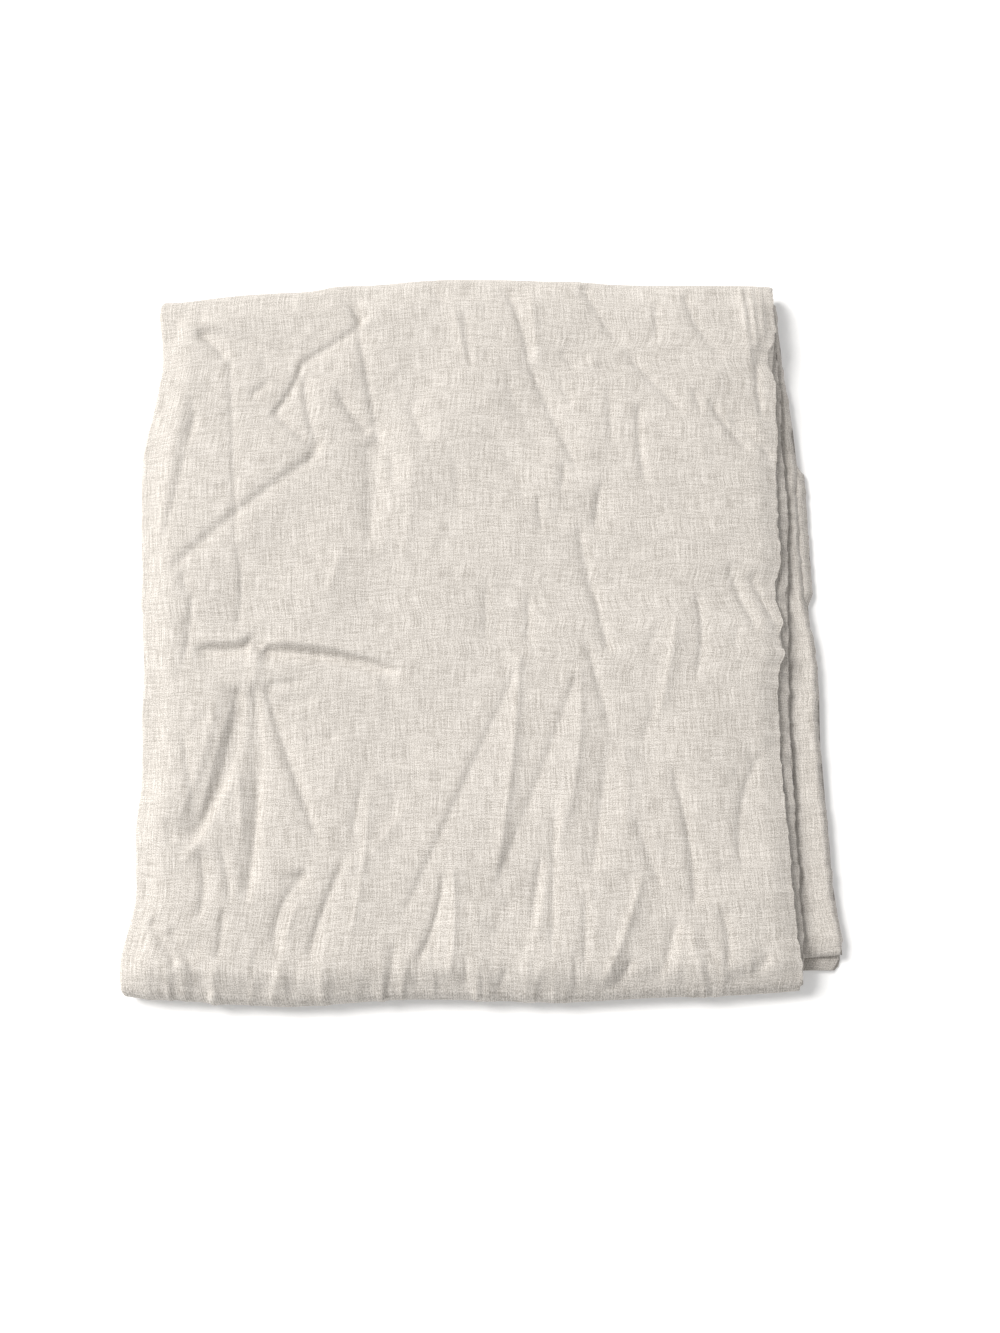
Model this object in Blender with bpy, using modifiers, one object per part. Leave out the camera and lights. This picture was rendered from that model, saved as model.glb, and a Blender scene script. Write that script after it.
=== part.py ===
"""Folded duvet cover: two cloth panels sewn together, folded in four across and in four along.

The empty cover lies with its two panels face to face, so each layer here is one doubled sheet. It starts as
a flat grid, one unit to a column and a row. Across its width it is folded into a strip of four plies, and
the strip is folded along its length into four panels: bottom, top, third and fourth, in the order in which
the cloth runs. The top panel and the third are the upper half of the bundle. The fourth and the bottom
panel are its lower half, which lies askew under it. X runs to the right, Y away from the near fold, Z up,
with the origin under the middle of the bundle. Tables are in millimetres, all else in metres.
"""
import math

import bmesh
import bpy
import numpy as np

MM = 0.001
NODE = "folded_cover"

# Cloth
PLY = 1.0 * MM                      # two panels of cloth, one on the other
PITCH = 1.8 * MM                    # from one ply to the next, with the air between them
PLIES = 4                           # plies in a strip, and panels along it
STRIP = PLIES * PITCH               # height of one folded strip
OUTER_PLY = 1.5 * PITCH             # outermost ply of a strip, from the strip's middle
INNER_PLY = 0.5 * PITCH
SMALL_FOLD = 0.5 * PITCH            # bend between two plies that touch

# Outline of the bundle, seen from above, for each distance along it. Upper is the upper half, lower the
# lower half, ply the sewn edge on the right, fold the folded edge that lies between the plies there.
EDGE_COLUMNS = ("y", "upper_left", "upper_ply", "upper_fold", "lower_left", "lower_ply", "lower_fold")
EDGES = (
    (-290, -263, 238, 239, -235, 270, 266),
    (-262, -267, 238, 240, -233, 270, 265),
    (-215, -258, 234, 239, -231, 265, 262),
    (-130, -258, 230, 239, -235, 262, 259),
    (-50, -261, 230, 239, -241, 261, 258),
    (20, -266, 233, 240, -249, 260, 262),
    (60, -268, 236, 243, -254, 257, 264),
    (130, -271, 235, 243, -261, 254, 261),
    (200, -259, 237, 241, -253, 250, 250),
    (290, -265, 239, 239, -261, 244, 242),
)
# Its far and near ends for each distance across, with the near ends of the fourth and the bottom panel.
END_COLUMNS = ("x", "far", "near", "fourth", "bottom")
ENDS = (
    (-265, 281, -284, -245, -267),
    (-200, 287, -288, -247, -269),
    (-130, 291, -291, -250, -270),
    (-60, 298, -287, -251, -267),
    (20, 301, -287, -249, -266),
    (100, 297, -286, -248, -265),
    (237, 295, -279, -250, -263),
    (266, 294, -278, -250, -262),
)
INNER_EDGE_BACK = 6 * MM            # the inner sewn edge lies this far behind the outer one

# How the bundle swells, and how loose its uppermost ply is
SWELL = 0.07
SWELL_HALF_WIDTH = 0.30
SWELL_HALF_LENGTH = 0.32
LOFT = 2.4 * MM
LOFT_EDGE = 24 * MM

# Main folds of the uppermost ply: a line, the height of its crest (below 0 for a trough) and its half width
FOLD_COLUMNS = ("x_from", "y_from", "x_to", "y_to", "height", "half_width")
MAIN_FOLDS = (
    (-98, 250, -143, 222, -2.0, 12),
    (-143, 222, -167, 175, -2.0, 12),
    (-95, 255, -82, 165, 2.6, 13),
    (-127, 143, -230, 52, -2.2, 12),
    (-118, 125, -215, 42, 2.4, 15),
    (-90, 150, -88, 75, -2.2, 13),
    (-63, 170, -70, 25, 3.6, 15),
    (-235, 190, -250, 65, -1.8, 11),
    (37, 260, 75, 120, -2.0, 13),
    (100, 255, 165, 170, -2.0, 13),
    (-217, -19, -60, -40, -2.4, 11),
    (-170, -42, -185, -115, 4.4, 13),
    (-185, -115, -220, -180, 3.6, 13),
    (-188, -60, -213, -165, -2.4, 12),
    (-163, -60, -165, -200, 3.2, 12),
    (-160, -50, -120, -165, -2.0, 12),
    (28, -35, 12, -200, 4.2, 14),
    (20, -45, -25, -180, -2.2, 12),
    (75, -45, 40, -190, 4.0, 14),
    (105, -92, 92, -185, 3.6, 13),
    (147, -110, 158, -190, -2.2, 12),
    (-135, -195, -150, -245, 2.8, 12),
    (-105, -190, -123, -255, 2.6, 12),
    (115, -200, 95, -258, 3.0, 12),
)

# Grid. A fraction is 0 at the near end or the left side and 1 at the far end or the right side.
ROWS_UPPER = (0, 0.022, 0.05, 0.085, 0.25, 0.45, 0.65, 0.84, 1)
ROWS_LOWER = (0, 0.03, 0.2, 0.45, 0.7, 1)
COLUMNS = (0, 0.03, 0.06, 0.26, 0.5, 0.75, 1)

# The upper half hangs down past the lower half's near end, and past its left side, which lies further in
# towards the near end: the share at each of the fractions above.
HANG_NEAR = 11 * MM
HANG_NEAR_SHARE = (1, 0.55, 0.06, 0, 0, 0, 0, 0, 0)
HANG_LEFT = 6 * MM
HANG_LEFT_SHARE = (1, 0.35, 0, 0, 0, 0, 0)
HANG_LEFT_ALONG = (1, 1, 0.98, 0.95, 0.85, 0.5, 0.16, 0.03, 0)
TOP_CELLS_ALONG = (1, 1, 1, 5, 6, 6, 6, 5)      # finer cells in each row of the uppermost ply
TOP_CELLS_ACROSS = (1, 1, 6, 7, 7, 7)           # and in each of its columns, from the left
STEPS_WRAP = 9                      # steps round the big far fold
STEPS_NEAR = 6
STEPS_NESTED = 5
STEPS_LEFT = 5
STEPS_SMALL = 4

COLOUR = (0.72, 0.67, 0.60, 1)
ROUGHNESS = 0.92


def table(rows, names):
    """A table in millimetres as named columns in metres."""
    values = np.array(rows, dtype=float).T * MM
    return dict(zip(names, values))


def smooth(t):
    """A soft step from 0 to 1 as t goes from 0 to 1."""
    t = np.clip(t, 0, 1)
    return t * t * (3 - 2 * t)


def arc(steps, start, end):
    """Angles inside a bend, without its two ends, which belong to the plies that it joins."""
    return np.radians(np.linspace(start, end, steps + 1)[1:-1])


def strip_section():
    """The strip across: fraction across, sideways shift, height in the strip, on the folded edge, shift back.

    The plies are stacked outermost, fourth, third, second, so the first bend on the left wraps the third.
    """
    across = []

    def ply(fractions, height, folded, back=0.0):
        for fraction in fractions:
            across.append((fraction, 0.0, height, folded, -back * fraction))

    def bend(steps, start, end, radius, middle, fraction, folded):
        for angle in arc(steps, start, end):
            shift = radius * math.cos(angle)
            across.append((fraction, shift, middle + radius * math.sin(angle), folded, 0.0))

    ply(COLUMNS[::-1], OUTER_PLY, 0.0)
    bend(STEPS_LEFT, 90, 270, OUTER_PLY, 0.0, 0.0, 0.5)
    ply(COLUMNS, -OUTER_PLY, 1.0)
    bend(STEPS_SMALL, -90, 90, SMALL_FOLD, -PITCH, 1.0, 1.0)
    ply(COLUMNS[::-1], -INNER_PLY, 1.0)
    bend(STEPS_SMALL, 270, 90, SMALL_FOLD, 0.0, 0.0, 0.5)
    ply(COLUMNS, INNER_PLY, 0.0, INNER_EDGE_BACK)
    return np.array(across)


def strip_path():
    """The strip along: fraction along, shift along, height, outward direction (along, up), panel weights.

    The last two columns say how far a row belongs to the lower half, and to its bottom panel.
    """
    along = []

    def panel(fractions, level, up, lower, bottom):
        for fraction in fractions:
            along.append((fraction, 0.0, (level + 0.5) * STRIP, 0.0, up, lower, bottom))

    def bend(steps, start, end, radius, level, fraction, outward, lower):
        for number, angle in enumerate(arc(steps, start, end), 1):
            out = math.cos(angle)
            up = math.sin(angle)
            share = lower[0] + (lower[1] - lower[0]) * number / steps
            height = level * STRIP + radius * up
            along.append((fraction, radius * out, height, outward * out, outward * up, share, 0.0))

    panel(ROWS_LOWER, 0, -1, 1.0, 1.0)
    bend(STEPS_WRAP, -90, 90, 1.5 * STRIP, 2, 1.0, 1, (1.0, 0.0))
    panel(ROWS_UPPER[::-1], 3, 1, 0.0, 0.0)
    bend(STEPS_NEAR, 90, 270, 0.5 * STRIP, 3, 0.0, 1, (0.0, 0.0))
    panel(ROWS_UPPER, 2, -1, 0.0, 0.0)
    bend(STEPS_NESTED, 90, -90, 0.5 * STRIP, 2, 1.0, -1, (0.0, 1.0))
    panel(ROWS_LOWER[::-1], 1, 1, 1.0, 0.0)
    return np.array(along)


def at_index(stations, index):
    """The columns of a station list at whole or part indices."""
    whole = np.arange(len(stations))
    return [np.interp(index, whole, column) for column in stations.T]


def relief(x, y):
    """Height of the uppermost ply's main folds: a soft crest or trough along each line of the table."""
    height = np.zeros_like(x)
    for row in MAIN_FOLDS:
        fold = dict(zip(FOLD_COLUMNS, row))
        run_x = (fold["x_to"] - fold["x_from"]) * MM
        run_y = (fold["y_to"] - fold["y_from"]) * MM
        from_x = x - fold["x_from"] * MM
        from_y = y - fold["y_from"] * MM
        share = np.clip((from_x * run_x + from_y * run_y) / (run_x ** 2 + run_y ** 2), 0, 1)
        away = np.hypot(from_x - share * run_x, from_y - share * run_y)
        height += fold["height"] * MM * np.exp(-(away / (fold["half_width"] * MM)) ** 2)
    return height


def hang(across, along):
    """How far the upper half hangs down past the near end and the left side of the lower half."""
    near = np.interp(along, ROWS_UPPER, HANG_NEAR_SHARE)
    left = np.interp(across, COLUMNS, HANG_LEFT_SHARE) * np.interp(along, ROWS_UPPER, HANG_LEFT_ALONG)
    return HANG_NEAR * near + HANG_LEFT * left * (1 - near)


def fold_points(column, row):
    """Each point of the flat grid, given by its column and row, taken to its place in the bundle."""
    across, side, rise, folded, back = at_index(strip_section(), column)
    along, shift, level, out, up, lower, bottom = at_index(strip_path(), row)
    edges = table(EDGES, EDGE_COLUMNS)
    ends = table(ENDS, END_COLUMNS)

    nominal_x = np.interp(across, (0, 1), (-0.262, 0.236))
    far = np.interp(nominal_x, ends["x"], ends["far"]) - 2 * STRIP
    near_upper = np.interp(nominal_x, ends["x"], ends["near"]) + STRIP
    near_bottom = np.interp(nominal_x, ends["x"], ends["bottom"])
    near_fourth = np.interp(nominal_x, ends["x"], ends["fourth"])
    near_lower = near_bottom * bottom + near_fourth * (1 - bottom)
    near = near_upper * (1 - lower) + near_lower * lower
    y = near + (far - near) * along + shift + out * rise

    left, right = [], []
    for half in ("upper", "lower"):
        ply_edge = np.interp(y, edges["y"], edges[half + "_ply"])
        fold_edge = np.interp(y, edges["y"], edges[half + "_fold"])
        left.append(np.interp(y, edges["y"], edges[half + "_left"]))
        right.append(ply_edge * (1 - folded) + fold_edge * folded)
    left_side = left[0] * (1 - lower) + left[1] * lower + OUTER_PLY
    right_side = right[0] * (1 - lower) + right[1] * lower + back
    x = left_side + (right_side - left_side) * across + side

    z = level + up * rise
    inside_x = 1 - np.clip(x / SWELL_HALF_WIDTH, -1, 1) ** 2
    inside_y = 1 - np.clip(y / SWELL_HALF_LENGTH, -1, 1) ** 2
    z = INNER_PLY + (z - INNER_PLY) * (1 + SWELL * inside_x * inside_y)
    z = z - (1 - lower) * hang(across, along)

    uppermost = (up > 0.99) & (level > 3 * STRIP) & (rise > OUTER_PLY - 0.01 * MM)
    edge_near = smooth(np.minimum(y - near, far - y) / LOFT_EDGE)
    edge_left = smooth((x - left_side) / LOFT_EDGE)
    z = z + uppermost * edge_near * edge_left * np.maximum(LOFT + relief(x, y), 0)
    return np.stack((x, y, z), axis=1)


def cut_cells(cloth, axis, start, cells, inside):
    """Cut the cells between whole grid lines of one axis into finer ones, inside a box of the flat grid."""
    for number, pieces in enumerate(cells):
        edges = []
        for edge in cloth.edges:
            ends = [vertex.co for vertex in edge.verts]
            middle = (ends[0] + ends[1]) / 2
            along = abs(ends[0][axis] - ends[1][axis]) > 0.5
            here = start + number < middle[axis] < start + number + 1
            if along and here and all(low <= middle[k] <= high for k, (low, high) in enumerate(inside)):
                edges.append(edge)
        if pieces > 1:
            bmesh.ops.subdivide_edges(cloth, edges=edges, cuts=pieces - 1, use_grid_fill=True)


def flat_cloth():
    """The cloth laid flat, one unit to a column and a row, with the uppermost ply cut finer."""
    columns = len(strip_section())
    rows = len(strip_path())
    cloth = bmesh.new()
    bmesh.ops.create_grid(cloth, x_segments=columns - 1, y_segments=rows - 1, size=0.5)
    for vertex in cloth.verts:
        vertex.co.x = (vertex.co.x + 0.5) * (columns - 1)
        vertex.co.y = (vertex.co.y + 0.5) * (rows - 1)
    first_row = len(ROWS_LOWER) + STEPS_WRAP - 1
    inside = ((0, len(COLUMNS) - 1), (first_row, first_row + len(ROWS_UPPER) - 1))
    cut_cells(cloth, 0, 0, TOP_CELLS_ACROSS[::-1], inside)
    cut_cells(cloth, 1, first_row, TOP_CELLS_ALONG[::-1], inside)
    return cloth


def cloth_material():
    """Warm off-white cloth."""
    material = bpy.data.materials.new("cloth")
    material.use_nodes = True
    shader = material.node_tree.nodes["Principled BSDF"]
    shader.inputs["Base Color"].default_value = COLOUR
    shader.inputs["Roughness"].default_value = ROUGHNESS
    shader.inputs["Metallic"].default_value = 0.0
    material.diffuse_color = COLOUR
    return material


def build_cover(collection):
    """The folded cover: the flat cloth with its points moved, then given its thickness."""
    cloth = flat_cloth()
    mesh = bpy.data.meshes.new(NODE)
    cloth.to_mesh(mesh)
    cloth.free()

    flat = np.empty(len(mesh.vertices) * 3)
    mesh.vertices.foreach_get("co", flat)
    flat = flat.reshape(-1, 3)
    points = fold_points(flat[:, 0], flat[:, 1])
    low = points.min(axis=0)
    high = points.max(axis=0)
    points -= ((low[0] + high[0]) / 2, (low[1] + high[1]) / 2, low[2] - PLY / 2)
    mesh.vertices.foreach_set("co", points.ravel())
    mesh.materials.append(cloth_material())
    mesh.update()

    cover = bpy.data.objects.new(NODE, mesh)
    collection.objects.link(cover)
    thickness = cover.modifiers.new("Thickness", "SOLIDIFY")
    thickness.thickness = PLY
    thickness.offset = 0
    return cover


def main():
    for item in list(bpy.data.objects):
        bpy.data.objects.remove(item, do_unlink=True)
    collection = bpy.data.collections.new("folded_duvet_cover")
    bpy.context.scene.collection.children.link(collection)
    build_cover(collection)


main()
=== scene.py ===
"""Folded, creased duvet cover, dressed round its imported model.

The cover is one doubled sheet, folded in four across and in four along. Its outer skin is worked out finely
where it shows, with each crease of a table, and its inner skin more coarsely. X runs to the right, Y away
from the near fold and Z up. Tables are in millimetres, all else in metres.
"""
import math

import bpy
import numpy as np
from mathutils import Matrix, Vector


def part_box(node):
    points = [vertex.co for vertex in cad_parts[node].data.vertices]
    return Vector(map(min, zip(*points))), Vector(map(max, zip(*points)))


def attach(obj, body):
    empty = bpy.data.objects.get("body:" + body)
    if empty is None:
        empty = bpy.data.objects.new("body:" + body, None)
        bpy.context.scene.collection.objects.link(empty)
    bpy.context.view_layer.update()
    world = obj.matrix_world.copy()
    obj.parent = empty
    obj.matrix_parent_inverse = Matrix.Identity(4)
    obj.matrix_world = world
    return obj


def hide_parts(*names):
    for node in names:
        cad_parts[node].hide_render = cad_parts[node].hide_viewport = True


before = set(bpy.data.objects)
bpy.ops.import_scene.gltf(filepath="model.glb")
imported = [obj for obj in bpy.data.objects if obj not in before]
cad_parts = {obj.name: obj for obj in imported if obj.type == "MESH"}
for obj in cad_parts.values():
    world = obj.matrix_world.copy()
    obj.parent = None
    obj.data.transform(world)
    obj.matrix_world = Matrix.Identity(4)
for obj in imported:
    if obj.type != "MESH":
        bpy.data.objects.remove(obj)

bl_info = {
    "name": "Folded duvet cover",
    "version": (1, 0, 0),
    "blender": (4, 5, 0),
    "location": "3D View > Sidebar > Folded cover",
    "description": "Builds a crumpled duvet cover, folded flat, and a plain studio round it",
    "category": "Add Mesh",
}

MM = 0.001
NODE = "folded_cover"
BOX_LOW, BOX_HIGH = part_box(NODE)
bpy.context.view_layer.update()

# Cloth
PLY = 1.0 * MM                      # two panels of cloth, one on the other
PITCH = 1.8 * MM                    # from one ply to the next
PLIES = 4
STRIP = PLIES * PITCH
OUTER_PLY = 1.5 * PITCH
INNER_PLY = 0.5 * PITCH
SMALL_FOLD = 0.5 * PITCH
PANEL_WIDTH = 0.497                 # one ply from fold to fold, on the flat cover
PANEL_LENGTH = 0.555
NOMINAL_SIDES = (-0.262, 0.236)     # sides between which the table of the ends is read

# Outline, seen from above, for each distance along the bundle: left side, sewn edges and folded edge on the
# right, of the upper half and of the lower half
EDGE_COLUMNS = ("y", "upper_left", "upper_ply", "upper_fold", "lower_left", "lower_ply", "lower_fold")
EDGES = (
    (-290, -263, 239, 239, -235, 250, 248),
    (-278, -266, 239, 239, -234, 254, 252),
    (-266, -267, 239, 239, -234, 262, 259),
    (-262, -267, 239, 239, -234, 268, 265),
    (-257, -267, 238, 240, -233, 271, 268),
    (-247, -265, 237, 240, -232, 272, 269),
    (-228, -261, 235, 240, -231, 271, 266),
    (-210, -258, 234, 239, -231, 268, 264),
    (-190, -259, 233, 239, -232, 267, 263),
    (-160, -260, 232, 238, -234, 266, 262),
    (-130, -258, 230, 238, -235, 264, 261),
    (-100, -259, 229, 237, -237, 263, 260),
    (-60, -261, 229, 237, -240, 263, 260),
    (-34, -261, 231, 238, -242, 264, 261),
    (-24, -262, 235, 238, -243, 264, 261),
    (-8, -263, 233, 239, -245, 262, 261),
    (5, -264, 235, 239, -247, 260, 260),
    (20, -266, 230, 239, -249, 258, 258),
    (28, -266, 230, 239, -250, 257, 260),
    (34, -266, 231, 240, -251, 256, 262),
    (50, -267, 235, 241, -253, 256, 262),
    (75, -269, 235, 242, -255, 255, 261),
    (100, -270, 235, 243, -257, 255, 261),
    (126, -271, 235, 242, -260, 255, 260),
    (136, -271, 236, 241, -261, 255, 259),
    (141, -271, 236, 241, -261, 255, 255),
    (150, -270, 237, 240, -260, 254, 254),
    (180, -264, 237, 241, -257, 252, 252),
    (207, -260, 237, 241, -255, 250, 250),
    (219, -258, 234, 240, -253, 248, 248),
    (229, -259, 233, 240, -253, 247, 246),
    (240, -260, 238, 240, -254, 246, 245),
    (262, -263, 239, 239, -257, 245, 242),
    (290, -265, 239, 239, -261, 244, 241),
)
# And for each distance across it: far end, near end of the upper half, and near ends of the lower half's two
# strips, the upper one called the fourth
END_COLUMNS = ("x", "far", "near", "fourth", "bottom")
ENDS = (
    (-265, 281, -283, -251, -267),
    (-250, 281, -285, -251, -268),
    (-225, 284, -286, -252, -268),
    (-205, 286, -288, -253, -269),
    (-170, 289, -290, -255, -270),
    (-142, 291, -291, -256, -270),
    (-122, 295, -290, -256, -269),
    (-95, 296, -288, -257, -268),
    (-60, 299, -286, -257, -267),
    (-20, 301, -286, -256, -266),
    (20, 301, -287, -255, -266),
    (60, 299, -288, -254, -265),
    (100, 297, -286, -254, -265),
    (140, 296, -284, -255, -264),
    (180, 296, -283, -256, -264),
    (215, 296, -281, -254, -263),
    (238, 295, -279, -252, -263),
    (266, 294, -278, -251, -262),
)
INNER_EDGE_BACK = 6 * MM            # the inner sewn edge lies this far behind the outer one
PLACE_X = 0.8 * MM                  # where the tables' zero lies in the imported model's frame
PLACE_Y = -5.0 * MM

# How the upper half hangs down at its near end and on its left: the drop at the very edge, and its reach
HANG_NEAR = 11 * MM
HANG_NEAR_REACH = 35 * MM
HANG_LEFT = 7.5 * MM
HANG_LEFT_REACH = 34 * MM
HANG_LEFT_ALONG = (-0.29, -0.24, -0.15, -0.04, 0.08, 0.18, 0.30)
HANG_LEFT_FACTOR = (1, 0.95, 0.9, 0.8, 0.7, 0.5, 0.15)

# How the right side sinks: the plies under the uppermost one, and the lower half's right side and near end
THIN_UPPER = 0.2                    # share of the upper half's height that is lost at its right edge
THIN_REACH = 60 * MM
SINK_UPPER = 0.3                    # share that its plies under the uppermost one lose besides
SINK_REACH = 9 * MM
SINK_UNEVEN = 0.22                  # how much that varies along the edge, with the puckers' waves
SINK_LAG = 1.0
SINK_LOWER = 0.38                   # share that the lower half loses
SINK_PAST = 1.1                     # a sink grows past the edge until its step reaches this
SINK_RIGHT_REACH = 5.5 * MM
SINK_NEAR_REACH = 17 * MM

# How the bundle swells towards its middle, and the air under the crumpled cloth on top. That grows inwards
# by a soft step over each reach, and a start is how far along its step it is at the very edge.
SWELL = 0.07
SWELL_HALF_WIDTH = 0.30
SWELL_HALF_LENGTH = 0.32
LOFT = 4.4 * MM
LOFT_ENDS = 22 * MM
LOFT_ENDS_START = 0.25
LOFT_LEFT = 24 * MM
LOFT_LEFT_START = 0.1
LOFT_RIGHT = 26 * MM
LOFT_RIGHT_START = 0.3
LOFT_LEAST = 0.15 * MM              # what a trough leaves
LOFT_ROUND = 0.5 * MM               # rounds a trough's bottom where it reaches that

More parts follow.
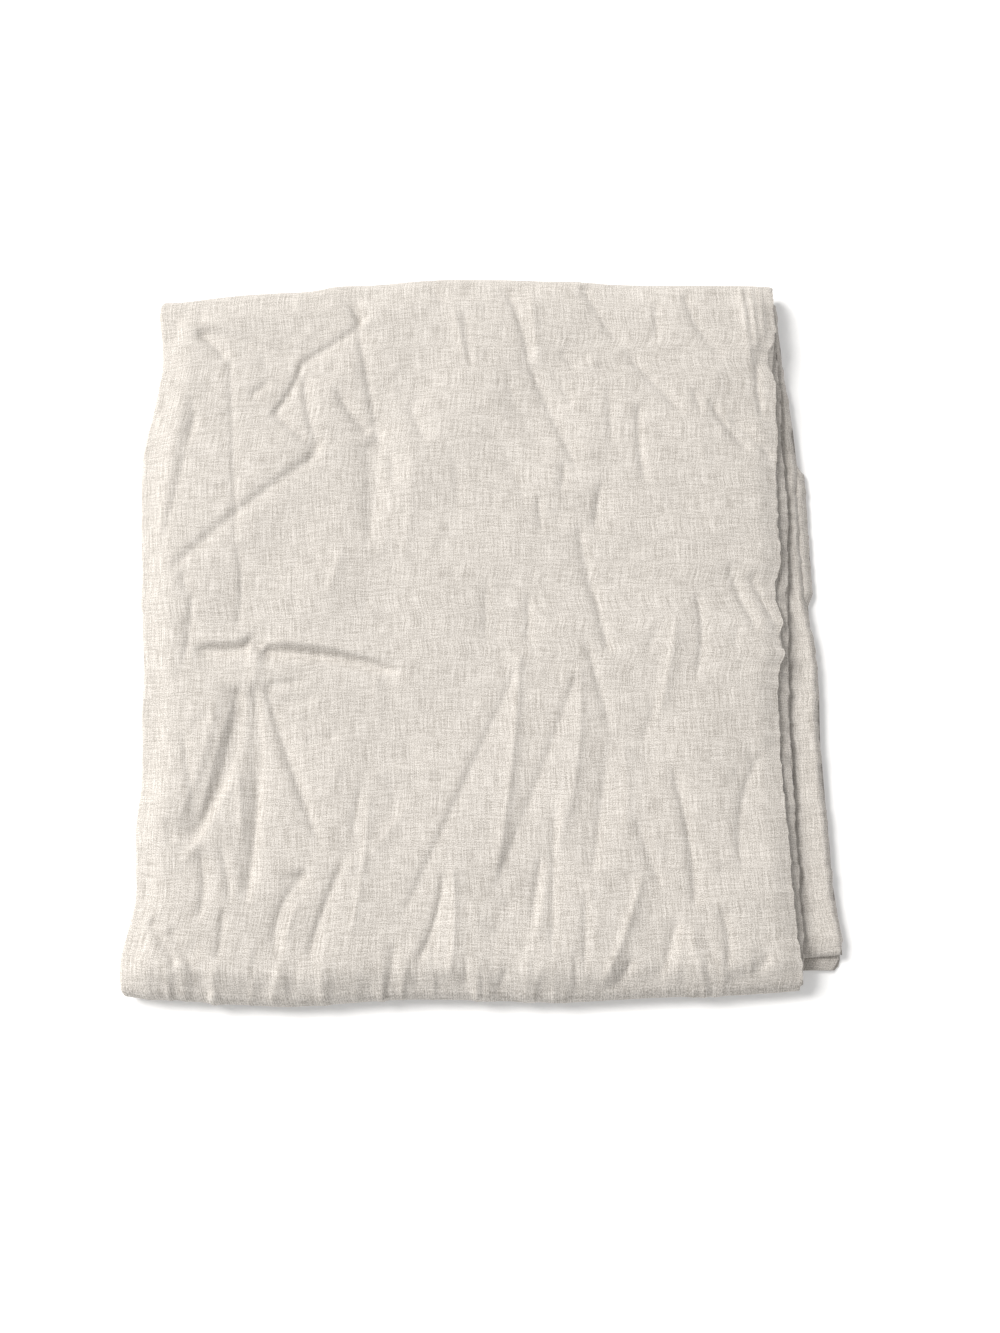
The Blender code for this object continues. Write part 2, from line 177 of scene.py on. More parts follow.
# Creases of the top, with X from the camera's centre line: start, middle and end, the height of the crest
# (below 0 for a trough), and how far its flanks reach, towards the light and away from it. A fade is the
# share of the length over which the crease dies out at its start and its end.
CREASE_COLUMNS = ("x1", "y1", "x2", "y2", "x3", "y3", "height", "lit", "away", "fade_in", "fade_out")
CREASES = (
    # far left
    (-137, 288, -122, 272, -112, 253, -4.6, 2.2, 5, 0.05, 0.1),
    (-112, 254, -135, 237, -160, 220, -2.6, 2.4, 8, 0.05, 0.08),
    (-159, 224, -164, 206, -181, 176, -2.4, 2.4, 7, 0.08, 0.15),
    (-184, 179, -166, 162, -143, 143, -3.0, 2.2, 5, 0.1, 0.1),
    (-252, 250, -212, 240, -160, 221, -2.4, 2.4, 4, 0.2, 0.2),
    (-248, 248, -233, 236, -220, 221, -3.2, 2.2, 4, 0.2, 0.2),
    (-245, 268, -244, 260, -243, 252, -1.2, 2.4, 4, 0.3, 0.3),
    (-270, 272, -265, 258, -261, 240, -1.2, 3, 6, 0.2, 0.3),
    (-158, 214, -155, 180, -143, 142, -2.4, 2.4, 9, 0.15, 0.05),
    (-142, 143, -190, 107, -262, 40, -2.5, 2.8, 9, 0.04, 0.12),
    (-135, 204, -122, 180, -104, 158, -3.8, 3.2, 6, 0.4, 0.1),
    (-116, 252, -107, 205, -98, 156, -2.2, 2.6, 9, 0.1, 0.05),
    (-101, 172, -97, 155, -98, 138, -3.6, 5, 5, 0.3, 0.3),
    (-104, 156, -101, 108, -105, 56, -4.8, 8, 11, 0.15, 0.4),
    (-91, 146, -86, 132, -83, 114, -1.6, 3, 6, 0.2, 0.3),
    (-78, 184, -71, 110, -82, 16, 1.8, 10, 16, 0.3, 0.5),
    (-252, 205, -260, 140, -273, 50, 1.2, 12, 7, 0.2, 0.3),
    (-249, 194, -246, 174, -251, 145, -1.2, 2.4, 4, 0.2, 0.2),
    (-250, 146, -257, 108, -267, 58, -1.1, 2.6, 5, 0.1, 0.3),
    (-220, 238, -213, 150, -207, 60, -1.1, 2.2, 4, 0.1, 0.1),
    (-207, 66, -202, 35, -204, -8, -1.4, 2.2, 5, 0.1, 0.2),
    (-240, 30, -240, 0, -246, -40, -1.7, 2.6, 5, 0.1, 0.3),
    (-250, 44, -246, 34, -242, 22, -1.6, 3, 4, 0.3, 0.3),
    (-202, 189, -193, 197, -184, 204, -2.0, 2.4, 4, 0.2, 0.3),
    (-228, 172, -202, 178, -178, 173, -0.8, 2.2, 4, 0.2, 0.3),
    (-123, 68, -128, 45, -136, 15, 1.2, 4, 8, 0.3, 0.4),
    (-74, 184, -66, 166, -57, 146, -1.6, 3, 6, 0.2, 0.3),
    (-20, 196, 2, 172, 32, 146, 1.3, 4, 8, 0.3, 0.4),
    (-205, 279, -160, 270, -118, 264, 0.7, 6, 9, 0.3, 0.4),
    (-196, 230, -186, 214, -172, 204, -0.9, 2.4, 4, 0.3, 0.4),
    # far right
    (2, 291, 14, 262, 24, 216, -2.2, 2.4, 6, 0.05, 0.15),
    (24, 290, 28, 250, 33, 212, 1.2, 3, 6, 0.1, 0.3),
    (22, 222, 42, 172, 65, 118, -1.9, 2.6, 6, 0.1, 0.2),
    (-29, 268, -27, 240, -23, 212, -1.0, 2.6, 5, 0.2, 0.3),
    (-38, 270, -34, 250, -27, 218, 1.2, 3, 4, 0.2, 0.3),
    (-62, 291, -52, 280, -43, 265, -1.2, 2.6, 5, 0.1, 0.4),
    (46, 208, 52, 195, 60, 180, -1.3, 2.4, 5, 0.2, 0.3),
    (49, 232, 55, 222, 63, 212, -1.3, 2.4, 5, 0.2, 0.3),
    (68, 290, 80, 262, 102, 230, -1.7, 2.6, 6, 0.05, 0.3),
    (96, 236, 122, 204, 152, 170, -2.4, 2.4, 6, 0.25, 0.25),
    (127, 276, 127, 255, 126, 236, -1.4, 2.4, 4, 0.2, 0.3),
    (150, 284, 160, 252, 184, 222, -1.7, 2.4, 5, 0.1, 0.2),
    (155, 198, 158, 188, 162, 175, -1.8, 2.4, 4, 0.3, 0.3),
    (166, 192, 180, 167, 200, 143, -2.8, 2.2, 5, 0.25, 0.15),
    (180, 176, 200, 158, 218, 138, -2.8, 2.2, 4, 0.25, 0.1),
    (198, 292, 200, 254, 204, 218, 1.9, 5, 1.8, 0.05, 0.15),
    (206, 292, 207, 258, 209, 228, 1.6, 3, 1.8, 0.05, 0.15),
    (209, 224, 208, 198, 212, 170, -2.6, 2.6, 4, 0.1, 0.2),
    (213, 292, 214, 264, 215, 240, 1.4, 3, 1.8, 0.05, 0.2),
    (112, 186, 111, 152, 116, 112, -1.9, 2.4, 4, 0.1, 0.2),
    (88, 206, 88, 170, 90, 138, -1.2, 2.6, 6, 0.2, 0.3),
    (81, 120, 77, 97, 73, 72, -2.2, 3, 9, 0.25, 0.3),
    (62, 84, 66, 55, 72, 26, -2.2, 5, 6, 0.2, 0.1),
    (70, 34, 78, 4, 84, -26, -2.1, 3, 5, 0.1, 0.15),
    (51, 136, 50, 120, 47, 104, -1.4, 2.4, 4, 0.2, 0.3),
    (31, 106, 31, 90, 34, 72, -1.6, 2.4, 4, 0.2, 0.2),
    (23, 26, 22, 4, 22, -18, -1.7, 2.4, 4, 0.2, 0.2),
    (152, 28, 156, -12, 149, -48, -1.7, 2.4, 5, 0.15, 0.25),
    (178, 50, 188, 20, 203, -10, -1.9, 2.2, 4, 0.15, 0.2),
    (195, 42, 206, 16, 219, -8, -2.4, 2.2, 4, 0.1, 0.1),
    (140, 60, 170, 64, 205, 62, -0.7, 2.2, 5, 0.3, 0.3),
    (-8, 42, -11, 10, -10, -26, -1.3, 5, 7, 0.3, 0.4),
    (125, 110, 150, 90, 170, 76, -0.8, 3, 6, 0.3, 0.3),
    (-40, 150, -34, 118, -36, 80, -0.9, 4, 7, 0.3, 0.4),
    (0, 140, 12, 120, 20, 92, -0.9, 3, 6, 0.3, 0.4),
    # near left
    (-238, -20, -215, -21, -192, -19, -5.6, 2.6, 5, 0.3, 0.1),
    (-236, -13, -214, -14, -195, -12, 1.6, 5, 3, 0.3, 0.2),
    (-198, -12, -190, -16, -182, -22, -3.2, 3, 5, 0.3, 0.3),
    (-187, -22, -135, -26, -68, -42, -7.0, 2.7, 5, 0.08, 0.3),
    (-182, -15, -135, -19, -76, -35, 2.2, 5, 3, 0.15, 0.35),
    (-180, -30, -135, -34, -90, -44, 0.9, 4, 6, 0.2, 0.3),
    (-186, -28, -190, -46, -202, -66, 0.8, 5, 5, 0.1, 0.3),
    (-200, -50, -206, -108, -233, -173, -6.0, 7.5, 5, 0.06, 0.08),
    (-216, -52, -226, -108, -248, -165, 1.6, 12, 7, 0.2, 0.3),
    (-204, -56, -217, -108, -229, -166, 1.1, 2.5, 6, 0.2, 0.2),
    (-198, -112, -214, -150, -242, -192, 1.7, 3, 6, 0.2, 0.2),
    (-242, -84, -236, -115, -229, -150, -1.5, 2.4, 5, 0.15, 0.3),
    (-189, -46, -183, -128, -190, -224, -4.2, 6, 3.5, 0.12, 0.15),
    (-199, -112, -196, -142, -193, -176, 1.2, 2.2, 4, 0.2, 0.3),
    (-184, -38, -164, -97, -130, -184, -3.4, 2.8, 6, 0.25, 0.3),
    (-226, -176, -221, -200, -225, -232, -2.2, 3, 5, 0.15, 0.2),
    (-211, -168, -204, -195, -200, -222, -1.7, 2.6, 5, 0.2, 0.3),
    (-206, -220, -206, -240, -210, -264, -2.0, 2.4, 4, 0.15, 0.2),
    (-261, -228, -250, -244, -238, -264, -2.6, 2.6, 5, 0.1, 0.1),
    (-246, -234, -236, -250, -214, -284, -2.1, 2.4, 5, 0.1, 0.05),
    (-143, -192, -164, -224, -166, -258, -2.2, 2.8, 6, 0.1, 0.2),
    (-148, -214, -156, -232, -160, -250, 1.2, 2.4, 4, 0.2, 0.3),
    (-117, -186, -130, -218, -142, -260, -2.4, 2.8, 7, 0.1, 0.15),
    (-104, -126, -109, -150, -110, -172, -1.3, 2.4, 4, 0.2, 0.3),
    (-99, -130, -102, -185, -112, -248, 1.1, 2.6, 5, 0.1, 0.2),
    (-104, -122, -78, -116, -42, -118, 1.0, 2.4, 5, 0.2, 0.3),
    (-66, -140, -84, -164, -102, -188, 1.0, 3.5, 7, 0.2, 0.3),
    (14, -34, -28, -128, -76, -234, -1.5, 2.6, 11, 0.04, 0.15),
    (-42, -194, -46, -222, -62, -262, -2.5, 2.4, 4, 0.1, 0.15),
    (-36, -188, -34, -228, -38, -272, 1.5, 2.4, 4, 0.1, 0.1),
    (-252, -150, -249, -160, -246, -174, -1.3, 3, 5, 0.3, 0.3),
    (-262, -205, -262, -228, -266, -250, 1.1, 3, 5, 0.3, 0.3),
    (-272, -232, -272, -246, -271, -262, -1.2, 2.4, 4, 0.2, 0.2),
    (-182, -51, -166, -48, -150, -47, -1.3, 2.2, 4, 0.2, 0.3),
    (-174, -64, -156, -61, -138, -60, -1.0, 2.2, 4, 0.3, 0.3),
    (-166, -80, -148, -77, -132, -78, -1.0, 2.2, 4, 0.3, 0.3),
    (-150, -96, -136, -92, -120, -90, -1.4, 2.2, 4, 0.2, 0.3),
    (-236, -80, -229, -77, -219, -74, -1.3, 2.2, 4, 0.2, 0.3),
    (-165, -200, -150, -196, -140, -190, -1.6, 2.4, 4, 0.2, 0.3),
    (-77, -240, -80, -262, -84, -292, -1.6, 2.6, 5, 0.3, 0.05),
    (-68, -254, -64, -270, -62, -292, -1.6, 2.6, 4, 0.3, 0.05),
    (-50, -236, -48, -262, -44, -292, -1.3, 2.6, 4, 0.3, 0.05),
    (-164, -262, -160, -276, -158, -293, 1.3, 3, 4, 0.3, 0.05),
    (-187, -236, -184, -262, -186, -292, 1.0, 3, 5, 0.3, 0.05),
    # near right
    (15, -22, 11, -92, -6, -212, 2.1, 8, 4, 0.04, 0.2),
    (60, -38, 38, -98, -8, -214, -1.3, 3, 10, 0.05, 0.15),
    (61, -32, 60, -98, 44, -178, 1.4, 9, 4, 0.05, 0.3),
    (84, -86, 78, -130, 69, -200, -1.7, 5, 6, 0.4, 0.15),
    (93, -88, 96, -125, 92, -180, 1.3, 8, 8, 0.15, 0.4),
    (64, -6, 73, -40, 86, -88, -1.7, 2.4, 5, 0.3, 0.15),
    (137, 8, 131, -32, 120, -78, 1.6, 4, 6, 0.15, 0.2),
    (120, -56, 114, -78, 106, -100, -1.2, 3, 6, 0.3, 0.3),
    (128, -106, 139, -152, 145, -222, -2.3, 2.8, 7, 0.2, 0.08),
    (102, -150, 110, -176, 121, -208, -1.8, 4, 6, 0.2, 0.2),
    (106, -194, 97, -226, 74, -278, 2.0, 3.5, 5, 0.08, 0.08),
    (132, -226, 125, -252, 112, -282, -2.2, 5, 4, 0.15, 0.05),
    (137, -220, 134, -246, 128, -282, 0.7, 2.4, 4, 0.2, 0.1),
    (163, -220, 169, -242, 166, -268, -2.2, 3, 6, 0.1, 0.2),
    (31, -178, 28, -200, 22, -236, -2.0, 2.6, 4, 0.15, 0.2),
    (33, -198, 31, -222, 24, -248, 1.2, 2.4, 5, 0.2, 0.3),
    (41, -142, 40, -190, 38, -264, -1.6, 2.6, 4, 0.15, 0.2),
    (64, -206, 63, -236, 62, -272, -1.5, 2.4, 4, 0.2, 0.2),
    (50, -132, 46, -160, 42, -186, 1.1, 2.6, 5, 0.2, 0.3),
    (202, -96, 187, -126, 182, -200, -1.8, 2.6, 11, 0.1, 0.25),
    (176, -116, 183, -122, 190, -128, -1.1, 2.2, 4, 0.2, 0.3),
    (162, -188, 172, -192, 184, -198, -1.2, 2.2, 4, 0.2, 0.3),
    (170, -279, 188, -268, 200, -254, -2.8, 4, 3, 0.1, 0.1),
    (100, -256, 90, -270, 78, -284, -2.4, 3, 4, 0.15, 0.05),
    (8, -262, 2, -272, -2, -286, -1.7, 2.6, 4, 0.3, 0.05),
    (150, -256, 154, -268, 160, -282, -1.5, 2.6, 4, 0.3, 0.05),
    (20, -246, 20, -270, 18, -292, 1.2, 3, 5, 0.3, 0.05),
    (56, -246, 56, -270, 58, -292, -1.3, 2.6, 4, 0.3, 0.05),
    (214, -224, 200, -221, 186, -224, -0.8, 2.4, 4, 0.2, 0.4),
)
CREASE_X = 15 * MM                  # where the crease table has its zero line
LIGHT_FROM = (-0.90, 0.44)          # direction towards the light, seen from above
CREST = 0.45 * MM                   # a crest is rounded over this distance
BOW_AT = (0.2, 0.8)                 # shares of a crease between which its middle point counts

# Small random crumple between the creases, pleats that run in from the near edge, and slow waves
CRUMPLE_SEED = 27
CRUMPLE_COUNT = 420
CRUMPLE_X = (-0.28, 0.23)
CRUMPLE_Y = (-0.30, 0.30)
CRUMPLE_TURN = 0.42                 # spread of the directions, in radians, about the length of the bundle
CRUMPLE_LENGTH = (12 * MM, 48 * MM)
CRUMPLE_WIDTH = (2.6 * MM, 6 * MM)
CRUMPLE_HEIGHT = 0.5 * MM
CRUMPLE_CUT = 4                     # widths beside a small crease beyond which it isn't worked out
CRUMPLE_NEAR = -0.18                # nearer than this the crumple is stronger, by the first factor
CRUMPLE_FACTORS = (1.3, 0.8)
PLEAT_SEED = 11
PLEAT_COUNT = 80
PLEAT_FEET = (-0.275, 0.215)
PLEAT_LINE = -0.292                 # the near edge that they start from
PLEAT_LEAN = 0.14
PLEAT_SIGNS = (-1, 1, 1)            # about two ridges to a trough
PLEAT_LENGTH = (16 * MM, 75 * MM)
PLEAT_WIDTH = (2.2 * MM, 4.2 * MM)
PLEAT_HEIGHT = (0.6 * MM, 1.9 * MM)
PLEAT_RISE = 13 * MM                # reach of the step by which a pleat rises, and where the step starts
PLEAT_RISE_START = 0.3
WAVE_SEED = 5
WAVE_COUNT = 26
WAVE_LENGTH = (45 * MM, 160 * MM)
WAVE_HEIGHT = 0.22 * MM

# Sewn edge on the right: its small puckers, and the fine waves of its outline. A wave's row has its length,
# phase and height.
PUCKER_REACH = 13 * MM
PUCKER_CALM = 0.5                   # share by which the puckers weaken the creases at the edge
PUCKER_WAVES = ((21.0, 0.3, 0.8), (13.0, 1.7, 0.45), (34.0, 2.2, 0.6))
EDGE_WAVES = ((47.0, 0.4, 0.35), (23.0, 2.0, 0.3), (12.5, 1.1, 0.35), (7.5, 0.3, 0.2))
WAVE_SHIFT = 1.9                    # lag of the outline's waves from one strip to the next, and at a fold

# Grid of the sheet: whole lines at shares of a panel, and how fine the cells between them are
ROWS_UPPER = (0, 0.015, 0.03, 0.05, 0.075, 0.12, 0.18, 0.25, 0.31, 0.37, 0.42, 0.46, 0.485, 0.54, 0.61,
              0.68, 0.75, 0.82, 0.88, 0.94, 0.98, 1)
ROWS_FINENESS = (0.9, 0.9, 0.9, 0.9, 0.85, 0.75, 0.7, 0.7, 0.7, 0.75, 1.5, 1.5, 0.8, 0.7, 0.7, 0.8, 0.85,
                 0.9, 0.95, 0.95, 1)
FINENESS_ELSEWHERE = 0.7
ROWS_THIRD = (0, 0.015, 0.03, 0.05, 0.075, 0.12, 0.18, 0.3, 0.45, 0.6, 0.75, 0.88, 0.95, 1)
ROWS_LOWER = (0, 0.006, 0.015, 0.05, 0.1, 0.2, 0.3, 0.4, 0.515, 0.535, 0.6, 0.66, 0.731, 0.742, 0.8,
              0.9, 0.97, 1)
COLUMNS = (0, 0.015, 0.03, 0.06, 0.12, 0.25, 0.4, 0.55, 0.7, 0.84, 0.93, 0.965, 1)
STEPS_WRAP = 10
STEPS_NEAR = 8
STEPS_NESTED = 6
STEPS_LEFT = 8
STEPS_SMALL = 6
STRIP_COLUMNS_SEEN = 2              # whole columns of the lower half's top ply that show on the right
CELL_ACROSS = 1.6 * MM
CELL_ALONG = 2.3 * MM
CELL_ROUND = 10.0                   # degrees, round a bend
SHARP_ANGLE = 65.0                  # degrees, past which an edge isn't shaded smooth

# Weave: sizes of its noises across and along the flat cloth, their strengths, and the heights of its bump
WEFT_SLUB = 0.6                     # length of a slub across the cloth, against one along it
GRAIN_SIZE = (0.7 * MM, 0.75 * MM)
LONG_SLUB_SIZE = (1.2 * MM, 55 * MM)
LONG_SLUB_STRENGTH = 0.3
CLOUD_SIZE = (55 * MM, 70 * MM)
CLOUD_STRENGTH = 0.12
THREAD_HEIGHT = 0.1 * MM
RUMPLE_SIZE = (9 * MM, 20 * MM)
RUMPLE_HEIGHT = 0.2 * MM
CLOTH_FINISH = (("Roughness", 0.9), ("Specular IOR Level", 0.25), ("Sheen Weight", 0.12),
                ("Sheen Roughness", 0.6))

# Camera, light and floor
CAMERA_X = CREASE_X + PLACE_X
CAMERA_BACK = 384 * MM              # in front of the bundle's middle
CAMERA_ABOVE = 1284 * MM            # above the bundle's flat top, a little under its highest crease
CREST_ABOVE_TOP = 3 * MM
CAMERA_TILT = 15.0                  # degrees from straight down
FOCAL_PIXELS = 1729.0               # of an image 1333 pixels high
IMAGE_HEIGHT = 1333.0
SENSOR = 36.0
KEY_PLACE = (-5.52, 2.70, 6.58)
KEY_SIZE = 4.4
KEY_COLOUR = (1.0, 0.985, 0.965)
SKY_COLOUR = (1.0, 0.995, 0.985, 1)
FLOOR_HALF = 6.0
SQUARE = ((-1, -1), (1, -1), (1, 1), (-1, 1))
FLOOR_DROP = 0.3 * MM               # how far the floor lies under the bundle


def table(rows, names):
    """A table in millimetres as named columns in metres."""
    values = np.array(rows, dtype=float).T * MM
    return dict(zip(names, values))


def smooth(t):
    """A soft step: 3 t squared less 2 t cubed, for t held between 0 and 1."""
    t = np.clip(t, 0, 1)
    return t * t * (3 - 2 * t)


def curve(x, knots, values):
    """A smooth curve through a table: a cubic between two knots whose slope at a knot is its neighbours'."""
    knots = np.asarray(knots, dtype=float)
    values = np.asarray(values, dtype=float)
    slope = np.gradient(values, knots)
    x = np.clip(x, knots[0], knots[-1])
    at = np.clip(np.searchsorted(knots, x, side="right") - 1, 0, len(knots) - 2)
    gap = knots[at + 1] - knots[at]
    t = (x - knots[at]) / gap
    start = values[at] * (1 + 2 * t) + slope[at] * gap * t
    end = values[at + 1] * (3 - 2 * t) - slope[at + 1] * gap * (1 - t)
    return start * (1 - t) ** 2 + end * t ** 2


def cells_between(fraction, angle, first, second, radius, middle, side):
    """Cells between a strip's lines, a row for each: fraction, angle and two values at its start and end,
    bend radius, middle height, and 1 or -1 for which way the outer side faces. Each of the first four is one
    number or one for each line. A flat cell runs at one height, and a bend's goes round a circle."""
    values = [np.asarray(value, dtype=float) for value in (fraction, angle, first, second)]
    pairs = [np.stack((line[:-1], line[1:]), axis=1) for line in np.broadcast_arrays(*values)]
    return np.hstack(pairs + [np.tile((radius, middle, side), (len(pairs[0]), 1))])


def strip_section():
    """The strip across, as cells whose two values are how far the right side is a fold, and the set-back."""
    def ply(fractions, height, folded, angle, side, back=0.0):
        return cells_between(fractions, angle, folded, -back * np.array(fractions), 0.0, height, side)

    def bend(steps, start, end, radius, middle, fraction, folded, side):
        angles = np.linspace(start, end, steps + 1)
        return cells_between(fraction, angles, np.linspace(*folded, steps + 1), 0.0, radius, middle, side)

    return np.concatenate((
        ply(COLUMNS[::-1], OUTER_PLY, 0.0, 90, 1),
        bend(STEPS_LEFT, 90, 270, OUTER_PLY, 0.0, 0.0, (0, 1), 1),
        ply(COLUMNS, -OUTER_PLY, 1.0, 270, 1),
        bend(STEPS_SMALL, -90, 90, SMALL_FOLD, -PITCH, 1.0, (1, 1), 1),
        ply(COLUMNS[::-1], -INNER_PLY, 1.0, 90, 1),
        bend(STEPS_SMALL, 270, 90, SMALL_FOLD, 0.0, 0.0, (1, 0), -1),
        ply(COLUMNS, INNER_PLY, 0.0, 90, -1, INNER_EDGE_BACK)))


def strip_path():
    """The strip along, as cells whose two values are how far it is in the lower half and at the bottom."""
    def panel(fractions, level, angle, side, lower, bottom):
        return cells_between(fractions, angle, lower, bottom, 0.0, (level + 0.5) * STRIP, side)

    def bend(steps, start, end, radius, level, fraction, side, lower, bottom):
        angles, lows, bottoms = [np.linspace(*ends, steps + 1) for ends in ((start, end), lower, bottom)]
        return cells_between(fraction, angles, lows, bottoms, radius, level * STRIP, side)

    return np.concatenate((
        panel(ROWS_LOWER, 0, -90, 1, 1, 1),
        bend(STEPS_WRAP, -90, 90, 1.5 * STRIP, 2, 1.0, 1, (1, 0), (1, 0)),
        panel(ROWS_UPPER[::-1], 3, 90, 1, 0, 0),
        bend(STEPS_NEAR, 90, 270, 0.5 * STRIP, 3, 0.0, 1, (0, 0), (0, 0)),
        panel(ROWS_THIRD, 2, 270, 1, 0, 0),
        bend(STEPS_NESTED, 90, -90, 0.5 * STRIP, 2, 1.0, -1, (0, 1), (0, 0)),
        panel(ROWS_LOWER[::-1], 1, -90, -1, 1, 0)))


SECTION = strip_section()
PATH = strip_path()

# Whole cells where the parts of the section and of the path start. At the right the upper half of the small
# fold shows, with the first cell of the next ply: on the top strip, and where the lower half steps out.
PLY_COLUMNS = len(COLUMNS) - 1
UPPER_START = len(ROWS_LOWER) - 1 + STEPS_WRAP
UPPER_END = UPPER_START + len(ROWS_UPPER) - 1
THIRD_START = UPPER_END + STEPS_NEAR
FOURTH_START = THIRD_START + len(ROWS_THIRD) - 1 + STEPS_NESTED
FOLD_START = 2 * PLY_COLUMNS + STEPS_LEFT + STEPS_SMALL // 2
FOLD_SEEN = slice(FOLD_START, FOLD_START + 4)
FOLD_CUTS = (2, 2, 2, 6)
STEP_ROWS = slice(FOURTH_START + 4, FOURTH_START + 9)


def at_index(cells, index):
    """Values at positions along the cells, straight between a cell's start and end: fraction, angle, two
    values, radius, middle height, side."""
    cell = np.clip(np.floor(index).astype(int), 0, len(cells) - 1)
    t = index - cell
    row = cells[cell]
    pairs = [row[:, 2 * k] + (row[:, 2 * k + 1] - row[:, 2 * k]) * t for k in range(4)]
    pairs[1] = np.radians(pairs[1])
    return pairs + [row[:, 8], row[:, 9], row[:, 10]]


def flat_position(cells, length, index):
    """Distance over the flat cloth: a cell measures its share of the panel, or radius times angle."""
    straight = np.abs(cells[:, 1] - cells[:, 0]) * length
    round_the_bend = np.radians(np.abs(cells[:, 3] - cells[:, 2])) * cells[:, 8]
    total = np.concatenate(((0,), np.cumsum(straight + round_the_bend)))
    return np.interp(index, np.arange(len(total)), total)


def crease_height(x, y, row):
    """One crease. Its line bows through the middle point; beside it the height dies out as the exponential
    of the distance over the flank's reach, rounded at the crest, and it fades in and out along the line."""
    value = dict(zip(CREASE_COLUMNS, row))
    run = np.array((value["x3"] - value["x1"], value["y3"] - value["y1"])) * MM
    length = math.hypot(run[0], run[1])
    run = run / length
    away = np.array((-run[1], run[0]))
    lit = 1 if away @ np.array(LIGHT_FROM) > 0 else -1
    middle = np.array((value["x2"] - value["x1"], value["y2"] - value["y1"])) * MM
    middle_t = min(max(middle @ run / length, BOW_AT[0]), BOW_AT[1])
    bow = middle @ away / (4 * middle_t * (1 - middle_t))
    from_x = x - value["x1"] * MM
    from_y = y - value["y1"] * MM
    t = (from_x * run[0] + from_y * run[1]) / length
    held = np.clip(t, 0, 1)
    offset = from_x * away[0] + from_y * away[1] - bow * 4 * held * (1 - held)
    past = (t - held) * length
    distance = np.sqrt(offset ** 2 + past ** 2 + CREST ** 2) - CREST
    reach = np.where(offset * lit > 0, value["lit"], value["away"]) * MM
    fade = smooth(t / value["fade_in"]) * smooth((1 - t) / value["fade_out"])
    return value["height"] * MM * fade * np.exp(-distance / reach)


def crumple_height(x, y):
    """Small random creases, most of them along the bundle, pleats and slow waves, all from fixed seeds. A
    crease's height dies out beside its line as the exponential of the distance over its width."""
    random = np.random.default_rng(CRUMPLE_SEED)
    height = np.zeros_like(x)
    for _ in range(CRUMPLE_COUNT):
        middle_x = random.uniform(*CRUMPLE_X)
        middle_y = random.uniform(*CRUMPLE_Y)
        turn = random.normal(math.pi / 2, CRUMPLE_TURN)
        half = random.uniform(*CRUMPLE_LENGTH) / 2
        width = random.uniform(*CRUMPLE_WIDTH)
        factor = CRUMPLE_FACTORS[0] if middle_y < CRUMPLE_NEAR else CRUMPLE_FACTORS[1]
        strength = random.normal(0, CRUMPLE_HEIGHT) * factor
        reach = half + CRUMPLE_CUT * width
        near = (np.abs(x - middle_x) < reach) & (np.abs(y - middle_y) < reach)
        along = (x[near] - middle_x) * math.cos(turn) + (y[near] - middle_y) * math.sin(turn)
        beside = (y[near] - middle_y) * math.cos(turn) - (x[near] - middle_x) * math.sin(turn)
        fade = smooth(1 - np.abs(along) / half)
        height[near] += strength * fade * np.exp(-(np.sqrt(beside ** 2 + CREST ** 2) - CREST) / width)
    random = np.random.default_rng(PLEAT_SEED)
    for _ in range(PLEAT_COUNT):
        foot = random.uniform(*PLEAT_FEET)
        length = random.uniform(*PLEAT_LENGTH)
        lean = random.normal(0, PLEAT_LEAN)
        width = random.uniform(*PLEAT_WIDTH)
        strength = random.uniform(*PLEAT_HEIGHT) * random.choice(PLEAT_SIGNS)
        up = y - PLEAT_LINE
        beside = np.abs(x - foot - lean * up)
        fade = smooth(1 - up / length) * smooth(PLEAT_RISE_START + up / PLEAT_RISE)
        height += strength * fade * np.exp(-(np.hypot(beside, CREST) - CREST) / width)
    random = np.random.default_rng(WAVE_SEED)
    for _ in range(WAVE_COUNT):
        turn = random.uniform(0, math.pi)
        wave = 2 * math.pi / random.uniform(*WAVE_LENGTH)
        phase = random.uniform(0, 2 * math.pi)
        strength = random.normal(0, WAVE_HEIGHT)
        height += strength * np.sin((x * math.cos(turn) + y * math.sin(turn)) * wave + phase)
    return height


def waves(y, rows, lag):
    """A sum of sines, one for each row of a table in millimetres, each with its phase and a lag added."""
    total = np.zeros_like(y)
    for length, phase, height in rows:
        total += height * MM * np.sin(2 * math.pi * y / (length * MM) + phase + lag)
    return total


def hang(from_near, from_left, y):
    """How far the upper half hangs down at two distances from its edges: by the cube and the square of the
    share of the reach that is left. The hang at the left gives way to that at the near end."""
    near = np.clip(1 - from_near / HANG_NEAR_REACH, 0, None) ** 3
    left = np.clip(1 - from_left / HANG_LEFT_REACH, 0, None) ** 2
    left = left * curve(y, HANG_LEFT_ALONG, HANG_LEFT_FACTOR)
    return HANG_NEAR * near + HANG_LEFT * left * (1 - np.clip(near, 0, 1))


